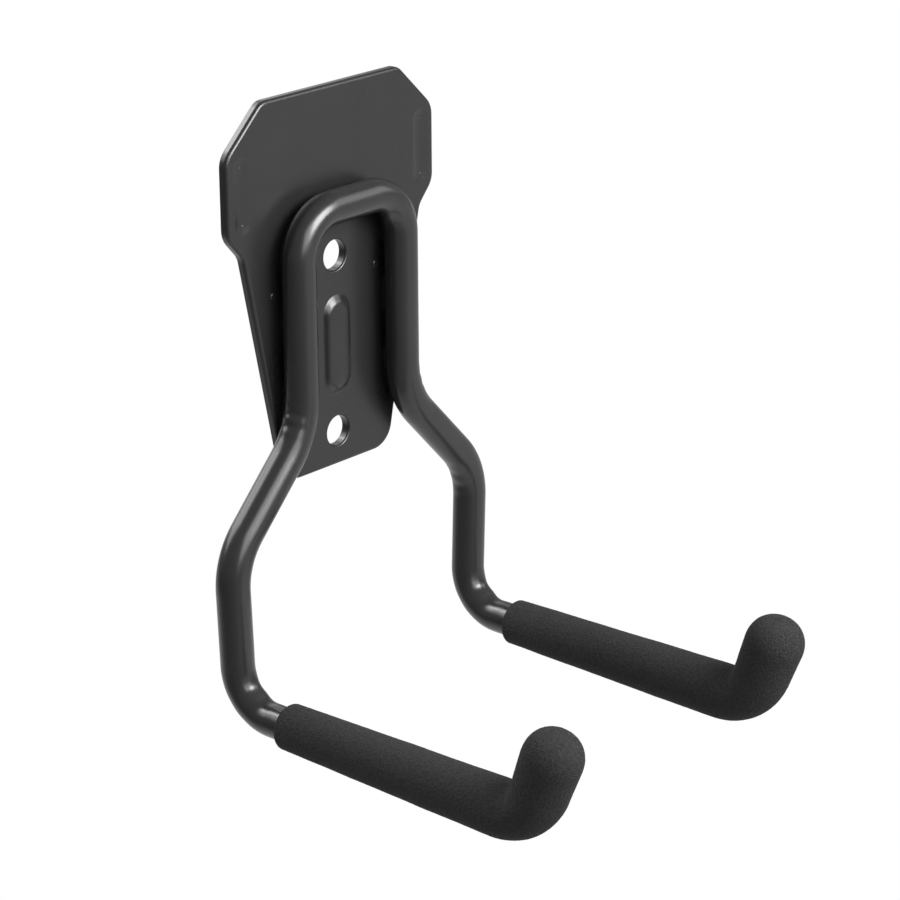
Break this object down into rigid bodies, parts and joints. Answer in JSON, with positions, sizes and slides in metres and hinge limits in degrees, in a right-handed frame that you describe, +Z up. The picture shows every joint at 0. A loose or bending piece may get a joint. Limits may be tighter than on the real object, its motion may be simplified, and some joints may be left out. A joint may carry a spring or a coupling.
{
  "type": "garage utility hook",
  "caption": "Wall hook for heavy tools: a stamped steel plate with a welded bent tube that spreads into arms with upturned foam-covered tips.",
  "frame": {"origin": "on the wall face, midway between the two screw holes", "axes": "+X to the right seen from the front, +Y into the wall, +Z up"},
  "size_m": [0.082, 0.0939, 0.1275],
  "materials": {
    "coated_plate": "satin",
    "coated_tube": "satin",
    "coated_weld": "satin",
    "foam": "matte"
  },
  "bodies": {
    "root": {"back_plate": "coated_plate", "hook_tube": "coated_tube", "weld_seams": "coated_weld", "grip_left": "foam", "grip_right": "foam"}
  },
  "joints": []
}
